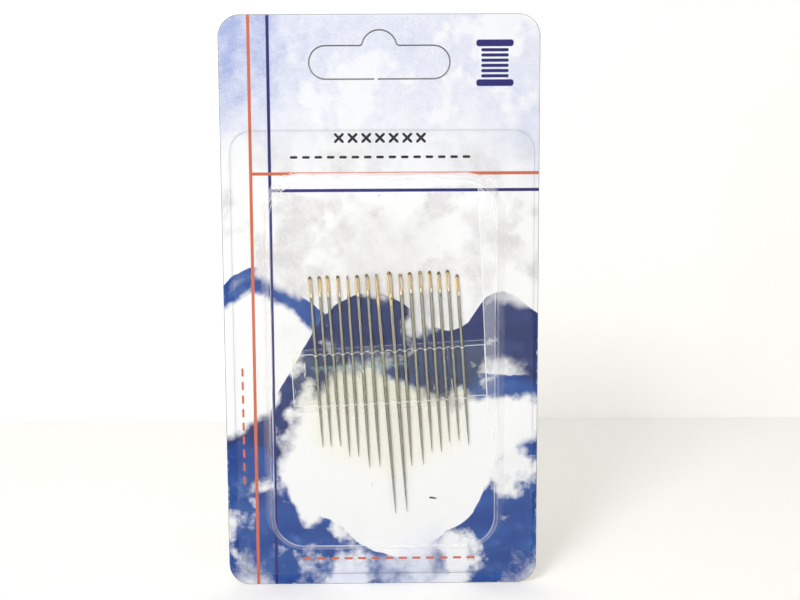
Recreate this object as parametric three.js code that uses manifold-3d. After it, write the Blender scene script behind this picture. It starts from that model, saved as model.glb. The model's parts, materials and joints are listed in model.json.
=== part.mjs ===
// A hang-sell pack of assorted hand-sewing needles: a printed card with a euro slot, a clear formed
// blister sealed over its front, and a row of needles held between two strips of clear tape.
// Millimetres, +Z up, the card's front towards -Y. The origin is where a display peg carries the pack:
// the centre of the slot's hump, on the card's back face.
import * as THREE from "three";
import { mergeVertices } from "three/addons/utils/BufferGeometryUtils.js";
import Module from "manifold-3d";

const wasm = await Module();
wasm.setup();
const { degToRad, smoothstep } = THREE.MathUtils;

// Needles: length over all and wire diameter of each size in the assortment
const SHORT_LENGTH = 40.2;
const SHORT_WIRE = 0.7;
const MEDIUM_LENGTH = 42.6;
const MEDIUM_WIRE = 0.74;
const LONG_LENGTH = 45.3;
const LONG_WIRE = 0.8;
const DARNER_LENGTH = 56.7;
const DARNER_WIRE = 0.95;

// Needle eyes: the slot, the steel left beside and above it, and how flat the wire is stamped there
const EYE_SLOT_LENGTH = 3.5;
const EYE_SLOT_WIDTH = 0.34;
const EYE_SIDE = 0.25;
const EYE_THICKNESS = 0.5;
const DARNER_SLOT_LENGTH = 4.6;
const DARNER_SLOT_WIDTH = 0.55;
const DARNER_EYE_SIDE = 0.29;
const DARNER_EYE_THICKNESS = 0.66;
const EYE_CROWN = 0.55;
const EYE_NECK = 1.9;
const GUTTER_LENGTH = 1.3;
const GUTTER_DEPTH = 0.1;

// Needle points: the ground taper and the radius left at its tip
const POINT_LENGTH = 9;
const TIP_RADIUS = 0.02;

// The row: clear space between neighbours, and between the two darners in the middle
const NEEDLE_GAP = 1.44;
const DARNER_GAP = 2.02;
const STRIP_TILT = 3;

// Tape: a strip behind the needles and a narrower one over them, tented over each wire
const TAPE_FILM = 0.08;
const FRONT_TAPE_WIDTH = 12;
const BACK_TAPE_WIDTH = 15;
const BACK_TAPE_LEAD = 1.1;
const TAPE_END = 5.6;
const EYES_TO_TAPE = 17.8;
const TENT_FOOT = 0.4;
const TENT_GAP = 0.05;
const SEAT_GAP = 0.03;

// Blister: film, dome, and the room it leaves round the needle row
const BLISTER_FILM = 0.3;
const DOME_DEPTH = 6.5;
const DOME_DRAFT = 2.4;
const DOME_CORNER = 6.8;
const DOME_RIM_ROUND = 1.5;
const DOME_ROOT_ROUND = 0.7;
const ROOM_ABOVE_EYES = 23.3;
const ROOM_BELOW_POINTS = 9.3;
const ROOM_BESIDE_TAPE = 5.6;
const FLANGE_SIDE = 6.5;
const FLANGE_HEAD = 9.15;
const FLANGE_FOOT = 5.05;
const FLANGE_CORNER = 4.8;
const BLISTER_SHIFT = 0.5;

// Card: board, margins round the blister, and the euro slot with its tab
const CARD_THICK = 0.5;
const CARD_CORNER = 5;
const CARD_SIDE = 1.65;
const CARD_FOOT = 2.6;
const BLISTER_TO_SLOT = 11.4;
const SLOT_WIDTH = 31.8;
const SLOT_HEIGHT = 7.45;
const HUMP_RISE = 3.45;
const HUMP_RADIUS = 4;
const HUMP_FILLET = 0.6;
const SLOT_TO_TOP = 3.5;
const TAB_KERF = 0.15;
const NICK_WIDTH = 0.8;
const NICK_OFFSET = -0.8;

// Facets: sides of a needle and steps along each round stretch
const NEEDLE_SIDES = 10;
const CROWN_STEPS = 4;
const NECK_STEPS = 3;
const POINT_STEPS = 5;
const EYE_STEPS = 2;
const CORNER_STEPS = 4;
const ROUND_STEPS = 4;
const CURVE_STEPS = 5;

function needleSize(length, wire, slotLength, slotWidth, side, thickness) {
  return { length, wire, slotLength, slotWidth, thickness, eyeWidth: slotWidth + 2 * side };
}
const fineEye = [EYE_SLOT_LENGTH, EYE_SLOT_WIDTH, EYE_SIDE, EYE_THICKNESS];
const darnerEye = [DARNER_SLOT_LENGTH, DARNER_SLOT_WIDTH, DARNER_EYE_SIDE, DARNER_EYE_THICKNESS];
const short = needleSize(SHORT_LENGTH, SHORT_WIRE, ...fineEye);
const medium = needleSize(MEDIUM_LENGTH, MEDIUM_WIRE, ...fineEye);
const long = needleSize(LONG_LENGTH, LONG_WIRE, ...fineEye);
const darner = needleSize(DARNER_LENGTH, DARNER_WIRE, ...darnerEye);

// The row as it lies, left to right. Each needle has slipped a little down from the eye line, strayed
// aside, leaned off the strip's own direction (degrees) and turned its eye from the front (degrees).
const row = [
  { size: short, slip: -0.3, aside: 0, lean: 0.7, turn: 15 },
  { size: short, slip: -0.3, aside: 0, lean: 0.4, turn: -20 },
  { size: short, slip: -0.3, aside: -0.3, lean: 0.85, turn: 10 },
  { size: medium, slip: -0.15, aside: 0, lean: 0.2, turn: 50 },
  { size: medium, slip: 0, aside: 0, lean: 0.1, turn: 88 },
  { size: long, slip: 0, aside: 0, lean: 0.3, turn: 10 },
  { size: long, slip: -0.1, aside: 0, lean: 0.5, turn: -15 },
  { size: darner, slip: 0, aside: -0.15, lean: 1.3, turn: 85 },
  { size: darner, slip: -0.4, aside: -0.15, lean: 0.95, turn: 8 },
  { size: long, slip: 0.2, aside: 0.1, lean: 0.1, turn: -25 },
  { size: long, slip: 0, aside: 0, lean: 0.9, turn: 12 },
  { size: medium, slip: -0.1, aside: 0.2, lean: 0.65, turn: -30 },
  { size: medium, slip: 0, aside: 0.2, lean: 0.65, turn: 35 },
  { size: short, slip: 0.3, aside: 0.1, lean: 0.65, turn: 25 },
  { size: short, slip: 0, aside: 0, lean: 0.9, turn: -10 },
  { size: short, slip: 1.2, aside: 0, lean: 1, turn: 40 },
];

// Even spacing by clear gaps, centred on the row's middle
const even = [0];
for (let i = 1; i < row.length; i++) {
  const bothDarners = row[i].size === darner && row[i - 1].size === darner;
  const gap = bothDarners ? DARNER_GAP : NEEDLE_GAP;
  even.push(even[i - 1] + (row[i - 1].size.wire + row[i].size.wire) / 2 + gap);
}
const rowLength = even[even.length - 1];
const longest = Math.max(...row.map((needle) => needle.size.length));

// Where the pieces come on the card: across from its centre line, up from its foot, out from its back
const tapeLength = rowLength + 2 * TAPE_END;
const domeWidth = tapeLength + 2 * ROOM_BESIDE_TAPE;
const domeHeight = ROOM_ABOVE_EYES + longest + ROOM_BELOW_POINTS;
const flangeWidth = domeWidth + 2 * FLANGE_SIDE;
const flangeHeight = FLANGE_FOOT + domeHeight + FLANGE_HEAD;
const cardWidth = flangeWidth + 2 * CARD_SIDE;
const flangeTop = CARD_FOOT + flangeHeight;
const domeTop = flangeTop - FLANGE_HEAD;
const eyeLine = domeTop - ROOM_ABOVE_EYES;
const slotBottom = flangeTop + BLISTER_TO_SLOT;
const slotTop = slotBottom + SLOT_HEIGHT;
const humpTop = slotTop + HUMP_RISE;
const humpCentre = humpTop - HUMP_RADIUS;
const cardHeight = humpTop + SLOT_TO_TOP;
const backTapeFront = CARD_THICK + TAPE_FILM;

// A closed geometry as a solid that can be cut and joined, and back again
function solidOf(geometry) {
  const loose = geometry.index ? geometry.toNonIndexed() : geometry;
  const bare = new THREE.BufferGeometry().setAttribute("position", loose.getAttribute("position"));
  const merged = mergeVertices(bare, 1e-4);
  return new wasm.Manifold(
    new wasm.Mesh({
      numProp: 3,
      vertProperties: merged.attributes.position.array,
      triVerts: new Uint32Array(merged.index.array),
    }),
  );
}

function geometryOf(solid) {
  const { vertProperties, triVerts } = solid.getMesh();
  const geometry = new THREE.BufferGeometry();
  geometry.setAttribute("position", new THREE.BufferAttribute(vertProperties, 3));
  geometry.setIndex(new THREE.BufferAttribute(triVerts, 1));
  geometry.computeVertexNormals();
  return geometry;
}

function indexed(points, faces) {
  const geometry = new THREE.BufferGeometry().setFromPoints(points);
  geometry.setIndex(faces);
  geometry.computeVertexNormals();
  return geometry;
}

// Joins rings of points, each counter-clockwise seen from the last one, and closes both ends
function loft(rings) {
  const count = rings[0].length;
  const last = (rings.length - 1) * count;
  const faces = [];
  for (let r = 0; r < rings.length - 1; r++) {
    for (let k = 0; k < count; k++) {
      const a = r * count + k;
      const b = r * count + ((k + 1) % count);
      faces.push(a, b, b + count, a, b + count, a + count);
    }
  }
  for (let k = 1; k < count - 1; k++) {
    faces.push(0, k + 1, k, last, last + k, last + k + 1);
  }
  return indexed(rings.flat(), faces);
}

// Closes two like grids of points, rows from the top and columns from the left, into one thin sheet
function sheet(front, back) {
  const rows = front.length;
  const columns = front[0].length;
  const faces = [];
  const quad = (a, b, c, d) => faces.push(a, b, c, a, c, d);
  const f = (r, c) => r * columns + c;
  const b = (r, c) => rows * columns + f(r, c);
  for (let r = 0; r < rows - 1; r++) {
    for (let c = 0; c < columns - 1; c++) {
      quad(f(r, c), f(r + 1, c), f(r + 1, c + 1), f(r, c + 1));
      quad(b(r, c + 1), b(r + 1, c + 1), b(r + 1, c), b(r, c));
    }
    quad(f(r + 1, 0), f(r, 0), b(r, 0), b(r + 1, 0));
    quad(f(r, columns - 1), f(r + 1, columns - 1), b(r + 1, columns - 1), b(r, columns - 1));
  }
  for (let c = 0; c < columns - 1; c++) {
    quad(f(0, c), f(0, c + 1), b(0, c + 1), b(0, c));
    quad(f(rows - 1, c + 1), f(rows - 1, c), b(rows - 1, c), b(rows - 1, c + 1));
  }
  return indexed([...front.flat(), ...back.flat()], faces);
}

// A rectangle with round corners, on its own centre
function roundedRectangle(width, height, radius) {
  const x = width / 2 - radius;
  const y = height / 2 - radius;
  const shape = new THREE.Shape();
  shape.absarc(x, y, radius, 0, Math.PI / 2);
  shape.absarc(-x, y, radius, Math.PI / 2, Math.PI);
  shape.absarc(-x, -y, radius, Math.PI, 1.5 * Math.PI);
  shape.absarc(x, -y, radius, 1.5 * Math.PI, 2 * Math.PI);
  shape.closePath();
  return shape;
}

function plate(shape, thickness, steps = CURVE_STEPS) {
  return new THREE.ExtrudeGeometry(shape, {
    depth: thickness,
    bevelEnabled: false,
    curveSegments: steps,
  });
}

// The euro slot's outline, drawn in from the cut by an inset. Its hump runs into the slot's upper edge
// through a small fillet, and a nick, where asked for, reaches back down to the cut.
function euroOutline(path, inset, nick) {
  const end = SLOT_HEIGHT / 2 - inset;
  const endX = SLOT_WIDTH / 2 - SLOT_HEIGHT / 2;
  const middle = slotBottom + SLOT_HEIGHT / 2;
  const top = slotTop - inset;
  const bottom = slotBottom + inset;
  const hump = HUMP_RADIUS - inset;
  const fillet = HUMP_FILLET + inset;
  const filletRise = top + fillet - humpCentre;
  const filletX = Math.sqrt((hump + fillet) ** 2 - filletRise ** 2);
  const meet = Math.atan2(filletRise, filletX);
  path.moveTo(-endX, bottom);
  if (nick) {
    path.lineTo(NICK_OFFSET - NICK_WIDTH / 2, bottom);
    path.lineTo(NICK_OFFSET - NICK_WIDTH / 2, slotBottom);
    path.lineTo(NICK_OFFSET + NICK_WIDTH / 2, slotBottom);
    path.lineTo(NICK_OFFSET + NICK_WIDTH / 2, bottom);
  }
  path.lineTo(endX, bottom);
  path.absarc(endX, middle, end, -Math.PI / 2, Math.PI / 2);
  path.lineTo(filletX, top);
  path.absarc(filletX, top + fillet, fillet, -Math.PI / 2, meet - Math.PI, true);
  path.absarc(0, humpCentre, hump, meet, Math.PI - meet);
  path.absarc(-filletX, top + fillet, fillet, -meet, -Math.PI / 2, true);
  path.lineTo(-endX, top);
  path.absarc(-endX, middle, end, Math.PI / 2, 1.5 * Math.PI);
  return path;
}

// Backing card: board with round corners, die-cut right round the slot but for the nick
function backingCard() {
  const outline = roundedRectangle(cardWidth, cardHeight, CARD_CORNER);
  const board = plate(outline, CARD_THICK).translate(0, cardHeight / 2, 0);
  const through = plate(euroOutline(new THREE.Shape(), 0, false), 3 * CARD_THICK);
  through.translate(0, 0, -CARD_THICK);
  return geometryOf(solidOf(board).subtract(solidOf(through)));
}

// Hang tab: the board left in the slot, smaller by the cut all round and held by the nick at its foot
function hangTab() {
  return plate(euroOutline(new THREE.Shape(), TAB_KERF, true), CARD_THICK);
}

// Points of a round that takes the corner between two straight runs
function rounded(from, corner, to, radius) {
  const inward = from.clone().sub(corner).normalize();
  const onward = to.clone().sub(corner).normalize();
  const half = Math.acos(inward.dot(onward)) / 2;
  const bisector = inward.clone().add(onward).normalize();
  const centre = corner.clone().addScaledVector(bisector, radius / Math.sin(half));
  const start = corner.clone().addScaledVector(inward, radius / Math.tan(half)).sub(centre);
  const sweep = (Math.PI - 2 * half) * Math.sign(-inward.cross(onward));
  const points = [];
  for (let k = 0; k <= ROUND_STEPS; k++) {
    const at = start.clone().rotateAround(new THREE.Vector2(), (sweep * k) / ROUND_STEPS);
    points.push(at.add(centre));
  }
  return points;
}

// Half section of the dome as distance in from its foot line and height off the card. The film's two
// faces are one section at no inset and one drawn in by the film.
function domeSection(inset) {
  const slope = DOME_DRAFT / DOME_DEPTH;
  const aside = inset * Math.hypot(1, slope);
  const low = BLISTER_FILM - inset;
  const high = DOME_DEPTH - inset;
  const foot = new THREE.Vector2(aside + slope * low, low);
  const rim = new THREE.Vector2(aside + slope * high, high);
  const outside = new THREE.Vector2(foot.x - FLANGE_SIDE, low);
  const inside = new THREE.Vector2(rim.x + DOME_CORNER, high);
  return [
    ...rounded(outside, foot, rim, DOME_ROOT_ROUND + inset),
    ...rounded(foot, rim, inside, DOME_RIM_ROUND - inset),
  ];
}

function domeRing(inset, height) {
  const corner = DOME_CORNER - inset;
  const outline = roundedRectangle(domeWidth - 2 * inset, domeHeight - 2 * inset, corner);
  const points = outline.getPoints(CORNER_STEPS).slice(0, -1);
  return points.map((point) => new THREE.Vector3(point.x, point.y, height));
}

function domeSolid(inset, floor) {
  const section = domeSection(inset);
  const rings = section.map((point) => domeRing(point.x, point.y));
  return solidOf(loft([domeRing(section[0].x, floor), ...rings]));
}

// Blister: one formed film, its sealing flange and its drafted dome of even thickness
function blister() {
  const flange = roundedRectangle(flangeWidth, flangeHeight, FLANGE_CORNER);
  const sealed = plate(flange, BLISTER_FILM).translate(0, (FLANGE_HEAD - FLANGE_FOOT) / 2, 0);
  const dome = domeSolid(0, BLISTER_FILM / 2);
  const hollow = domeSolid(BLISTER_FILM, -BLISTER_FILM);
  return geometryOf(solidOf(sealed).add(dome).subtract(hollow));
}

// One needle, eye upward, its top at the origin: stamped oval head, drawn wire, ground point
function needle(size) {
  const { length, wire, slotLength, slotWidth, thickness, eyeWidth } = size;
  const crown = EYE_CROWN + slotWidth / 2;
  const slotEnd = EYE_CROWN + slotLength;
  const start = 0.35;
  const stations = [];
  for (let k = 0; k <= CROWN_STEPS; k++) {
    const angle = start + (Math.PI / 2 - start) * (k / CROWN_STEPS);
    const swell = Math.sin(angle);
    const along = crown * (Math.cos(start) - Math.cos(angle));
    stations.push([along, (eyeWidth / 2) * swell, (thickness / 2) * swell]);
  }
  for (let k = 0; k <= NECK_STEPS; k++) {
    const share = smoothstep(k / NECK_STEPS, 0, 1);
    const across = THREE.MathUtils.lerp(eyeWidth, wire, share) / 2;
    const through = THREE.MathUtils.lerp(thickness, wire, share) / 2;
    stations.push([slotEnd + (EYE_NECK * (k - 1)) / NECK_STEPS, across, through]);
  }
  for (let k = 0; k <= POINT_STEPS; k++) {
    const share = k / POINT_STEPS;
    const radius = TIP_RADIUS + (wire / 2 - TIP_RADIUS) * (1 - share ** 1.7);
    stations.push([length - POINT_LENGTH * (1 - share), radius, radius]);
  }
  const rings = stations.reverse().map(([along, across, through]) =>
    Array.from({ length: NEEDLE_SIDES }, (_, k) => {
      const angle = (2 * Math.PI * (k + 0.5)) / NEEDLE_SIDES;
      return new THREE.Vector3(Math.cos(angle) * across, -along, -Math.sin(angle) * through);
    }),
  );
  const slot = plate(roundedRectangle(slotWidth, slotLength, slotWidth / 2), 2 * wire, EYE_STEPS);
  slot.translate(0, -EYE_CROWN - slotLength / 2, -wire);
  let solid = solidOf(loft(rings)).subtract(solidOf(slot));
  for (const face of [-1, 1]) {
    const gutter = new THREE.SphereGeometry(1, 8, 6);
    gutter.scale(slotWidth / 2, GUTTER_LENGTH, (wire - thickness) / 2 + GUTTER_DEPTH);
    gutter.translate(0, -slotEnd, (face * wire) / 2);
    solid = solid.subtract(solidOf(gutter));
  }
  return geometryOf(solid);
}

// How high a needle's axis lies over the back tape: on its wire, or on its eye's edge if that is lower
function axisHeight(size) {
  return SEAT_GAP + Math.max(size.wire / 2, size.eyeWidth / 2 - TAPE_FILM);
}

function eyeAcross(index) {
  return even[index] - rowLength / 2 + row[index].aside;
}

// One edge of the front tape at a distance below the eye line: flat on the back tape, and up over each
// needle in an arc with straight flanks. The tape's outer face is the same line raised by the film.
function tapeEdge(below, raise) {
  const flat = backTapeFront + raise;
  const edge = [new THREE.Vector3(-tapeLength / 2, -below, flat)];
  row.forEach(({ size, slip, lean }, index) => {
    const centre = eyeAcross(index) + (below - slip) * Math.tan(degToRad(lean));
    const arc = size.wire / 2 + TENT_GAP + raise;
    const reach = size.wire / 2 + TENT_GAP + TENT_FOOT;
    const axis = backTapeFront + axisHeight(size);
    edge.push(new THREE.Vector3(centre - reach, -below, flat));
    for (let k = -ROUND_STEPS / 2; k <= ROUND_STEPS / 2; k++) {
      const angle = (k / ROUND_STEPS) * degToRad(120);
      const up = axis + arc * Math.cos(angle);
      edge.push(new THREE.Vector3(centre + arc * Math.sin(angle), -below, up));
    }
    edge.push(new THREE.Vector3(centre + reach, -below, flat));
  });
  edge.push(new THREE.Vector3(tapeLength / 2, -below, flat));
  return edge;
}

function frontTape() {
  const edges = [EYES_TO_TAPE, EYES_TO_TAPE + FRONT_TAPE_WIDTH];
  const outer = edges.map((below) => tapeEdge(below, TAPE_FILM));
  const inner = edges.map((below) => tapeEdge(below, 0));
  return sheet(outer, inner);
}

function backTape() {
  const strip = new THREE.BoxGeometry(tapeLength, BACK_TAPE_WIDTH, TAPE_FILM);
  const below = EYES_TO_TAPE - BACK_TAPE_LEAD + BACK_TAPE_WIDTH / 2;
  return strip.translate(0, -below, CARD_THICK + TAPE_FILM / 2);
}

function named(name, geometry, look) {
  const mesh = new THREE.Mesh(geometry, new THREE.MeshStandardMaterial(look));
  mesh.name = name;
  return mesh;
}
const print = { color: 0xd5ddf3, roughness: 0.35, metalness: 0 };
const clearFilm = { color: 0xf6f8fa, roughness: 0.08, metalness: 0, transparent: true, opacity: 0.22 };
const clearTape = { color: 0xf4f5f3, roughness: 0.2, metalness: 0, transparent: true, opacity: 0.3 };
const nickel = { color: 0xb5b2a4, roughness: 0.3, metalness: 1 };

// The needle strip, turned a little on the card: eye line along X, needles down
const strip = new THREE.Group();
strip.position.set(BLISTER_SHIFT, eyeLine, 0);
strip.rotation.z = degToRad(STRIP_TILT);
strip.add(named("back_tape", backTape(), clearTape), named("front_tape", frontTape(), clearTape));
const shapes = new Map([short, medium, long, darner].map((size) => [size, needle(size)]));
row.forEach(({ size, slip, lean, turn }, index) => {
  const seat = new THREE.Group();
  seat.position.set(eyeAcross(index), -slip, backTapeFront + axisHeight(size));
  seat.rotation.z = degToRad(lean);
  const mesh = named(`needle_${String(index + 1).padStart(2, "0")}`, shapes.get(size), nickel);
  mesh.rotation.y = degToRad(turn);
  seat.add(mesh);
  strip.add(seat);
});

// The card lies face up here: X across, Y up the card, Z out of its front
const cover = named("blister", blister(), clearFilm);
cover.position.set(BLISTER_SHIFT, domeTop - domeHeight / 2, CARD_THICK);
const flat = new THREE.Group();
flat.add(named("backing_card", backingCard(), print), named("hang_tab", hangTab(), print));
flat.add(cover, strip);

// Stood up with its front towards -Y and the hump's centre at the origin
flat.rotation.x = Math.PI / 2;
flat.position.z = -humpCentre;
const needlePack = new THREE.Group();
needlePack.name = "needle_pack";
needlePack.add(flat);

export default needlePack;
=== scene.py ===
import json
import math

import bmesh
import bpy
from mathutils import Matrix, Vector


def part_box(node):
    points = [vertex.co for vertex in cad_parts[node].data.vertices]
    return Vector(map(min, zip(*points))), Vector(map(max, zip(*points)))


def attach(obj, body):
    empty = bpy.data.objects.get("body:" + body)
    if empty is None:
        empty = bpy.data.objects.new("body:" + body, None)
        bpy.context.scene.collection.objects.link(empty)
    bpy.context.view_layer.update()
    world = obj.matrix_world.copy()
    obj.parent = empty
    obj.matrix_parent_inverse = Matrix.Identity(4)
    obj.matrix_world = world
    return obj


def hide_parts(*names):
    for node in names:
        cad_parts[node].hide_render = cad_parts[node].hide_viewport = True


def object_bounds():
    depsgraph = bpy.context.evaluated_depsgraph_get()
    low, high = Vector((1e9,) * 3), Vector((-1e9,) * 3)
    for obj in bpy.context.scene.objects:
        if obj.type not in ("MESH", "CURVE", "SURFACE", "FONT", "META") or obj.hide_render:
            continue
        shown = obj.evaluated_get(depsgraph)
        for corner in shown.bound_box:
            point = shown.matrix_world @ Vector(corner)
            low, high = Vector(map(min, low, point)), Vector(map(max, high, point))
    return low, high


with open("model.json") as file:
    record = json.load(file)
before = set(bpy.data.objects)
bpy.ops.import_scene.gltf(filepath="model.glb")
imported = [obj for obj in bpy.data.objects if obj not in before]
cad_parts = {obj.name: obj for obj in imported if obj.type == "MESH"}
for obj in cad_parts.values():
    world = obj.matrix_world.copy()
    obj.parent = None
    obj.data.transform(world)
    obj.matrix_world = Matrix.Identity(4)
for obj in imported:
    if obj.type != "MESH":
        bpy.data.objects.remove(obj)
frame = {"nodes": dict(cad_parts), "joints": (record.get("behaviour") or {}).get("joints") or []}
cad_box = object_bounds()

scene = bpy.context.scene
MM = 0.001

# Backing card
# Coated duplex board, half a millimetre thick, offset printed on its white front and left grey behind.
# One die cuts its outline with round corners and the euro slot near its head.
card_low, card_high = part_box("backing_card")
FRONT = card_low.y
BACK = card_high.y
CARD_CORNER = 5 * MM
CUT_ROUND = 0.13 * MM
CUT_STEPS = 3
CORNER_STEPS = 14
SLOT_WIDTH = 31.8 * MM
SLOT_HEIGHT = 7.45 * MM
SLOT_TOP = 0.55 * MM
HUMP_RADIUS = 4 * MM
HUMP_FILLET = 0.6 * MM
NICK_WIDTH = 0.8 * MM
NICK_OFFSET = -0.8 * MM
DIE_ROUND = 0.15 * MM
PRINT_FACE, CUT_FACE, GREY_FACE = 0, 1, 2


def arc(across, up, radius, start, end, steps):
    turns = [math.radians(start + (end - start) * k / steps) for k in range(steps + 1)]
    return [(across + radius * math.cos(t), up + radius * math.sin(t)) for t in turns]


def round_rectangle(low, high, radius, inset=0.0):
    left, foot = low[0] + radius, low[1] + radius
    right, head = high[0] - radius, high[1] - radius
    points = []
    for quarter, (across, up) in enumerate(((right, head), (left, head), (left, foot), (right, foot))):
        points += arc(across, up, radius - inset, 90 * quarter, 90 * quarter + 90, CORNER_STEPS)
    return points


def euro_outline(inset, nick_foot=None):
    """The slot's outline drawn in by inset, with the uncut nick down to nick_foot where that is given."""
    end = SLOT_HEIGHT / 2 - inset
    end_across = (SLOT_WIDTH - SLOT_HEIGHT) / 2
    middle = SLOT_TOP - SLOT_HEIGHT / 2
    hump = HUMP_RADIUS - inset
    fillet = HUMP_FILLET + inset
    rise = SLOT_TOP - inset + fillet
    fillet_across = math.sqrt((hump + fillet) ** 2 - rise**2)
    meet = math.degrees(math.atan2(rise, fillet_across))
    points = arc(-end_across, middle, end, 90, 270, CORNER_STEPS)
    if nick_foot is not None:
        left, right = NICK_OFFSET - NICK_WIDTH / 2, NICK_OFFSET + NICK_WIDTH / 2
        points += [(left, middle - end), (left, nick_foot), (right, nick_foot), (right, middle - end)]
    points += arc(end_across, middle, end, -90, 90, CORNER_STEPS)
    points += arc(fillet_across, rise, fillet, 270, 180 + meet, CUT_STEPS)
    points += arc(0, 0, hump, meet, 180 - meet, CORNER_STEPS)[1:]
    return points + arc(-fillet_across, rise, fillet, -meet, -90, CUT_STEPS)[1:]


def ring(bm, points, depth):
    return [bm.verts.new((across, depth, up)) for across, up in points]


def bridge(bm, one, other):
    count = len(one)
    faces = []
    for k in range(count):
        after = (k + 1) % count
        faces.append(bm.faces.new((one[k], one[after], other[after], other[k])))
    return faces


def edges_of(bm, verts):
    return [bm.edges.get((v, verts[k - 1])) for k, v in enumerate(verts)]


def fill(bm, rings):
    """Triangles that close a face inside the first ring and outside any others."""
    edges = [edge for verts in rings for edge in edges_of(bm, verts)]
    made = bmesh.ops.triangle_fill(bm, use_beauty=True, edges=edges)["geom"]
    return [face for face in made if isinstance(face, bmesh.types.BMFace)]


def finished_mesh(name, bm):
    bmesh.ops.recalc_face_normals(bm, faces=bm.faces)
    mesh = bpy.data.meshes.new(name)
    bm.to_mesh(mesh)
    bm.free()
    return mesh


def board_mesh(name, cuts):
    """A board inside the first cut and outside any others, each an outline by inset and its round-over."""
    bm = bmesh.new()
    loops = []
    for outline_at, bend in cuts:
        turns = [math.radians(90 * k / CUT_STEPS) for k in range(CUT_STEPS + 1)]
        front = [(bend * (1 - math.sin(t)), FRONT + bend * (1 - math.cos(t))) for t in turns]
        back = [(inset, FRONT + BACK - depth) for inset, depth in reversed(front)]
        rings = [ring(bm, outline_at(inset), depth) for inset, depth in front + back]
        for one, other in zip(rings, rings[1:]):
            for face in bridge(bm, one, other):
                face.material_index = CUT_FACE
                face.smooth = True
        loops.append(rings)
    for end, slot in ((0, PRINT_FACE), (-1, GREY_FACE)):
        for face in fill(bm, [rings[end] for rings in loops]):
            face.material_index = slot
    return finished_mesh(name, bm)


def make_piece(name, mesh, materials, body, node, place=None):
    for material in materials:
        mesh.materials.append(material)
    piece = bpy.data.objects.new(name, mesh)
    scene.collection.objects.link(piece)
    if place:
        piece.matrix_world = place
    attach(piece, body)
    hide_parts(node)


def wire(tree, socket, value):
    if isinstance(value, bpy.types.NodeSocket):
        tree.links.new(value, socket)
    else:
        socket.default_value = value


def add(tree, kind, settings=None, **inputs):
    """A node of that kind, with its settings and its inputs by name, where _ stands for a space."""
    made = tree.nodes.new(kind)
    for name, value in (settings or {}).items():
        setattr(made, name, value)
    for name, value in inputs.items():
        wire(tree, made.inputs[name.replace("_", " ")], value)
    return made


def calc(tree, operation, *values):
    made = tree.nodes.new("ShaderNodeMath")
    made.operation = operation
    for socket, value in zip(made.inputs, values):
        wire(tree, socket, value)
    return made.outputs[0]


def product(tree, first, *others):
    for other in others:
        first = calc(tree, "MULTIPLY", first, other)
    return first


def apart(tree, one, other):
    """How far one value lies from the other."""
    return calc(tree, "ABSOLUTE", calc(tree, "SUBTRACT", one, other))


def from_ends(tree, value, size):
    """How far a value that runs from nothing to size is from the nearer end."""
    return calc(tree, "SUBTRACT", size / 2, apart(tree, value, size / 2))


def distance(tree, across, up):
    """How long a step is that goes so far across and so far up."""
    squares = calc(tree, "MULTIPLY_ADD", across, across, product(tree, up, up))
    return calc(tree, "SQRT", squares)


def ease(tree, value, start, end, low=0.0, high=1.0):
    """Value taken from start to end in a smooth step, as low to high."""
    made = tree.nodes.new("ShaderNodeMapRange")
    made.interpolation_type = "SMOOTHSTEP"
    for socket, given in zip(made.inputs, (value, start, end, low, high)):
        wire(tree, socket, given)
    return made.outputs[0]


def fade(tree, value, start, end):
    """One up to start, eased to nothing at end."""
    return ease(tree, value, start, end, 1.0, 0.0)


NOISE_MIDDLE = 0.5
NOISE_SPAN = (0.3, 0.7)
SWING_GAIN = 3.0


def noise(tree, vector, size, detail=2.0, roughness=0.5):
    """Cloudy noise whose lumps are about that size, in the vector's unit."""
    made = add(tree, "ShaderNodeTexNoise", Vector=vector, Scale=1 / size, Detail=detail, Roughness=roughness)
    return made.outputs["Fac"]


def patches(tree, vector, size, detail=2.0, roughness=0.5, between=NOISE_SPAN, low=0.0, high=1.0):
    """Cloudy noise eased between two of its levels, as low to high."""
    return ease(tree, noise(tree, vector, size, detail, roughness), *between, low, high)


def uneven(tree, vector, size, detail, roughness):
    """Cloudy noise about zero."""
    return calc(tree, "SUBTRACT", noise(tree, vector, size, detail, roughness), NOISE_MIDDLE)


def swing(tree, vector, size, reach, detail):
    """Cloudy noise about zero, as far as about reach either way."""
    return product(tree, uneven(tree, vector, size, detail, roughness=0.6), SWING_GAIN * reach)


def tint(tree, factor, one, other):
    """A mix of two colours, which are inputs 6 and 7 and output 2 of the node."""
    made = tree.nodes.new("ShaderNodeMix")
    made.data_type = "RGBA"
    for index, value in ((0, factor), (6, one), (7, other)):
        wire(tree, made.inputs[index], value)
    return made.outputs[2]


def new_material(name):
    material = bpy.data.materials.new(name)
    material.use_nodes = True
    tree = material.node_tree
    tree.nodes.clear()
    return material, tree


def surface(tree, shader):
    output = tree.nodes.new("ShaderNodeOutputMaterial")
    tree.links.new(shader.outputs[0], output.inputs["Surface"])


def bump(tree, height, depth, strength):
    made = add(tree, "ShaderNodeBump", Height=height, Distance=depth, Strength=strength)
    return made.outputs["Normal"]


def own_millimetres(tree):
    """The piece's own coordinates in millimetres, which stay with it as it moves."""
    here = tree.nodes.new("ShaderNodeTexCoord")
    scaled = add(tree, "ShaderNodeVectorMath", {"operation": "SCALE"}, Scale=1 / MM)
    tree.links.new(here.outputs["Object"], scaled.inputs[0])
    return scaled.outputs["Vector"]


def split(tree, vector):
    return add(tree, "ShaderNodeSeparateXYZ", Vector=vector).outputs


def stretched(tree, vector, scale, turn=0.0):
    """The vector turned about Y and scaled, for grain that runs one way."""
    made = add(tree, "ShaderNodeMapping", Vector=vector, Rotation=(0.0, turn, 0.0), Scale=scale)
    return made.outputs["Vector"]


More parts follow.
